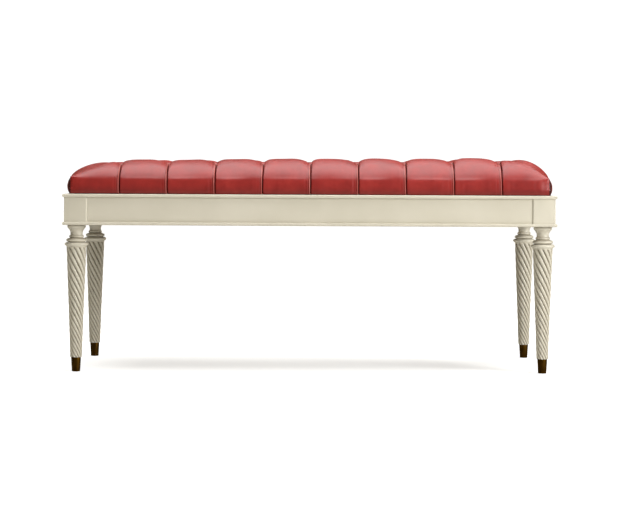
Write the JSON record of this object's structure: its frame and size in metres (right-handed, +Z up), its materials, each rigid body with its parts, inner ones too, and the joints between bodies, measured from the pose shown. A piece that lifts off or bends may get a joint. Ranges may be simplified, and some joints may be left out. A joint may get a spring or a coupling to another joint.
{
  "type": "piano bench",
  "caption": "Long upholstered piano bench with a painted wooden frame, rope-twist legs with brass ferrules and a deep-buttoned leather seat.",
  "frame": {"origin": "on the floor, in the middle of the bench's footprint", "axes": "+X along the length, -Y towards the front, +Z up"},
  "size_m": [1.22, 0.457, 0.528],
  "materials": {
    "painted_wood": "ivory satin lacquer with an antiqued glaze in the recesses",
    "bare_wood": "planed, unfinished",
    "plywood": "sanded plywood",
    "seat_leather": "semi-gloss finished red leather with a fine grain",
    "button_leather": "semi-gloss finished red leather over a button mould",
    "foam": "open-cell upholstery foam",
    "wadding": "polyester wadding",
    "twine": "waxed tufting twine",
    "dust_cloth": "black woven dust cloth",
    "steel": "zinc-plated",
    "antique_brass": "dark antiqued brass, lightly worn"
  },
  "bodies": {
    "root": {"seat_deck": "plywood", "seat_foam": "foam", "seat_wadding": "wadding", "leather_cover": "seat_leather", "tuft_buttons": "button_leather", "button_twines": "twine", "twine_anchors": "steel", "cover_staples": "steel", "dust_cover": "dust_cloth", "front_rail": "painted_wood", "rear_rail": "painted_wood", "left_rail": "painted_wood", "right_rail": "painted_wood", "front_left_post": "painted_wood", "front_right_post": "painted_wood", "rear_left_post": "painted_wood", "rear_right_post": "painted_wood", "top_moulding_front": "painted_wood", "top_moulding_rear": "painted_wood", "top_moulding_left": "painted_wood", "top_moulding_right": "painted_wood", "bottom_bead_front": "painted_wood", "bottom_bead_rear": "painted_wood", "bottom_bead_left": "painted_wood", "bottom_bead_right": "painted_wood", "bearer_left": "bare_wood", "bearer_centre": "bare_wood", "bearer_right": "bare_wood", "seat_screws": "steel", "front_left_leg": "painted_wood", "front_right_leg": "painted_wood", "rear_left_leg": "painted_wood", "rear_right_leg": "painted_wood", "hanger_bolts": "steel", "threaded_inserts": "steel", "front_left_ferrule": "antique_brass", "front_right_ferrule": "antique_brass", "rear_left_ferrule": "antique_brass", "rear_right_ferrule": "antique_brass", "ferrule_pins": "antique_brass"}
  },
  "joints": []
}
